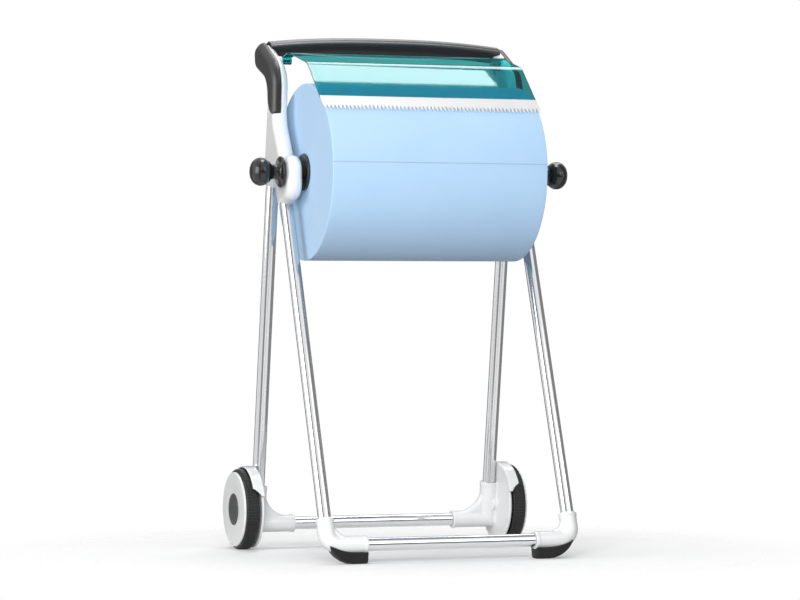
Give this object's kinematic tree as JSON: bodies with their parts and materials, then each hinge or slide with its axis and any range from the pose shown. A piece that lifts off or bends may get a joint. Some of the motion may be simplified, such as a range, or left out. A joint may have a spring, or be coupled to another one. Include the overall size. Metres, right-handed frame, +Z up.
{
  "type": "floor-standing wiper roll dispenser",
  "caption": "Wheeled tube stand that carries a wide wiper roll on a spindle, with a hinged see-through lid, a toothed tear bar and a grip across the top.",
  "frame": {"origin": "on the floor, under the middle of the stand's box", "axes": "+X along the roll's axis to the right as seen from the front, -Y is the front with the feet, +Z is up"},
  "size_m": [0.649, 0.5152, 1.0075],
  "materials": {
    "white_plastic": "moulded white plastic, glossy",
    "black_plastic": "moulded black plastic, glossy",
    "black_rubber": "black rubber, matt",
    "tyre_rubber": "black tyre rubber with fine cross ribs",
    "grey_plastic": "grey plastic, satin",
    "bright_tube": "bright drawn tube",
    "steel": "plain bright steel",
    "teal_lid": "see-through teal plastic, glossy",
    "card_core": "brown card tube",
    "blue_paper": "soft light blue wiper paper, wound"
  },
  "bodies": {
    "stand": {"arm_left": "white_plastic", "arm_right": "white_plastic", "handle": "black_plastic", "handle_screws": "steel", "front_leg_left": "bright_tube", "front_leg_right": "bright_tube", "rear_leg_left": "bright_tube", "rear_leg_right": "bright_tube", "front_crossbar": "bright_tube", "rear_crossbar": "bright_tube", "leg_screws": "steel", "socket_screws": "steel", "front_elbow_left": "white_plastic", "front_elbow_right": "white_plastic", "foot_left": "black_rubber", "foot_right": "black_rubber", "wheel_bracket_left": "white_plastic", "wheel_bracket_right": "white_plastic", "axle_left": "steel", "axle_right": "steel", "axle_clip_left": "steel", "axle_clip_right": "steel", "hinge_pin_left": "steel", "hinge_pin_right": "steel"},
    "roll": {"spindle_rod": "steel", "knob_left": "black_plastic", "knob_right": "black_plastic", "core_plug_left": "black_plastic", "core_plug_right": "black_plastic", "roll_core": "card_core", "wiper_roll": "blue_paper"},
    "cover": {"lid": "teal_lid", "tear_bar": "white_plastic"},
    "left_wheel": {"wheel_left": "white_plastic", "tyre_left": "tyre_rubber", "hub_cap_left": "grey_plastic"},
    "right_wheel": {"wheel_right": "white_plastic", "tyre_right": "tyre_rubber", "hub_cap_right": "grey_plastic"}
  },
  "joints": [
    {"name": "roll_spin", "type": "hinge", "parent": "stand", "child": "roll", "pos_m": [0, -0.022, 0.735], "axis": [1, 0, 0], "continuous": true},
    {"name": "lid_hinge", "type": "hinge", "parent": "stand", "child": "cover", "pos_m": [0, 0.0842, 0.95517], "axis": [-1, 0, 0], "range_deg": [0, 90]},
    {"name": "left_wheel_spin", "type": "hinge", "parent": "stand", "child": "left_wheel", "pos_m": [-0.28, 0.1786, 0.079], "axis": [1, 0, 0], "continuous": true},
    {"name": "right_wheel_spin", "type": "hinge", "parent": "stand", "child": "right_wheel", "pos_m": [0.28, 0.1786, 0.079], "axis": [1, 0, 0], "continuous": true}
  ]
}
